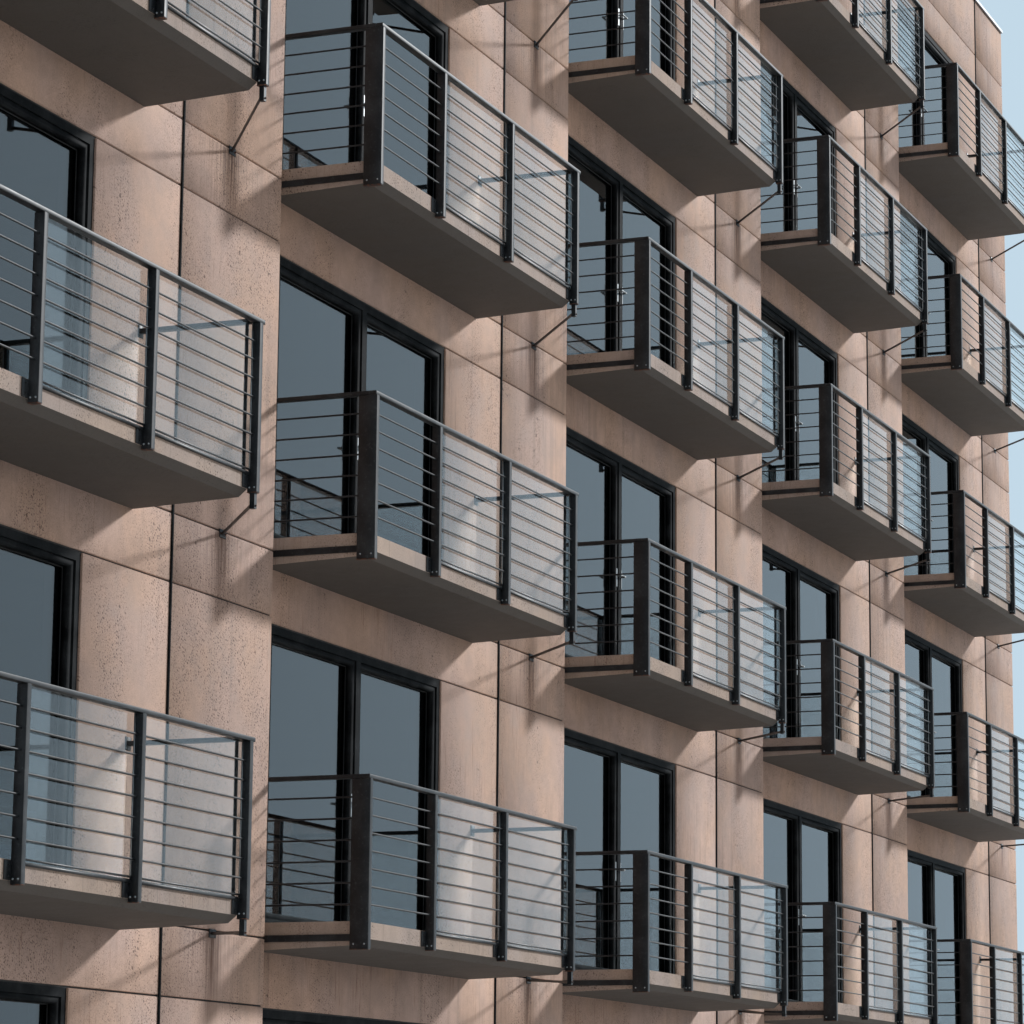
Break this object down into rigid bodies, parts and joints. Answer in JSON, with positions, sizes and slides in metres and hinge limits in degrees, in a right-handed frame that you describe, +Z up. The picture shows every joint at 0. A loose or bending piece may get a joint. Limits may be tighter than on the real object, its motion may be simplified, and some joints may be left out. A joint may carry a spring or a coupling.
{
  "type": "stepped apartment block",
  "caption": "Stepped row of concrete apartment bays with glazed doors and stacked balconies behind dark steel bar railings, built hollow with floors and a flat roof.",
  "frame": {"origin": "middle of the block's box at ground level", "axes": "+X along the row, -Y towards the street and its balconies, +Z up"},
  "size_m": [31.5, 12.36, 17.99],
  "materials": {
    "concrete": "fair-faced precast concrete, warm grey-pink, with small air holes",
    "balcony_concrete": "smooth fair-faced concrete, darker underneath",
    "dark_steel": "anthracite powder-coated steel, edges worn",
    "dark_frame": "anthracite coated door frames",
    "glass": "clear double glazing that reflects the sky",
    "railing_glass": "clear safety glass",
    "aluminium": "folded metal parapet caps"
  },
  "bodies": {
    "root": {"back_wall_bay_1": "concrete", "back_wall_bay_2": "concrete", "back_wall_bay_3": "concrete", "back_wall_bay_4": "concrete", "back_wall_bay_5": "concrete", "back_window_glass": "glass", "balcony_slabs_bay_1": "balcony_concrete", "balcony_slabs_bay_2": "balcony_concrete", "balcony_slabs_bay_3": "balcony_concrete", "balcony_slabs_bay_4": "balcony_concrete", "balcony_slabs_bay_5": "balcony_concrete", "balcony_steel_bars": "dark_steel", "base_slab": "concrete", "door_frames_bay_1": "dark_frame", "door_frames_bay_2": "dark_frame", "door_frames_bay_3": "dark_frame", "door_frames_bay_4": "dark_frame", "door_frames_bay_5": "dark_frame", "door_glass": "glass", "facade_panels_bay_1": "concrete", "facade_panels_bay_2": "concrete", "facade_panels_bay_3": "concrete", "facade_panels_bay_4": "concrete", "facade_panels_bay_5": "concrete", "facade_piers": "concrete", "ground_floor_slab": "concrete", "left_party_wall": "concrete", "parapet_copings": "aluminium", "railing_front_bars_bay_1": "dark_steel", "railing_front_bars_bay_2": "dark_steel", "railing_front_bars_bay_3": "dark_steel", "railing_front_bars_bay_4": "dark_steel", "railing_front_bars_bay_5": "dark_steel", "railing_front_rails": "dark_steel", "railing_glass": "railing_glass", "railing_posts_bay_1": "dark_steel", "railing_posts_bay_2": "dark_steel", "railing_posts_bay_3": "dark_steel", "railing_posts_bay_4": "dark_steel", "railing_posts_bay_5": "dark_steel", "railing_side_bars": "dark_steel", "railing_side_rails": "dark_steel", "right_party_wall": "concrete", "roof_slab": "concrete", "upper_floor_slabs": "concrete"}
  },
  "joints": []
}
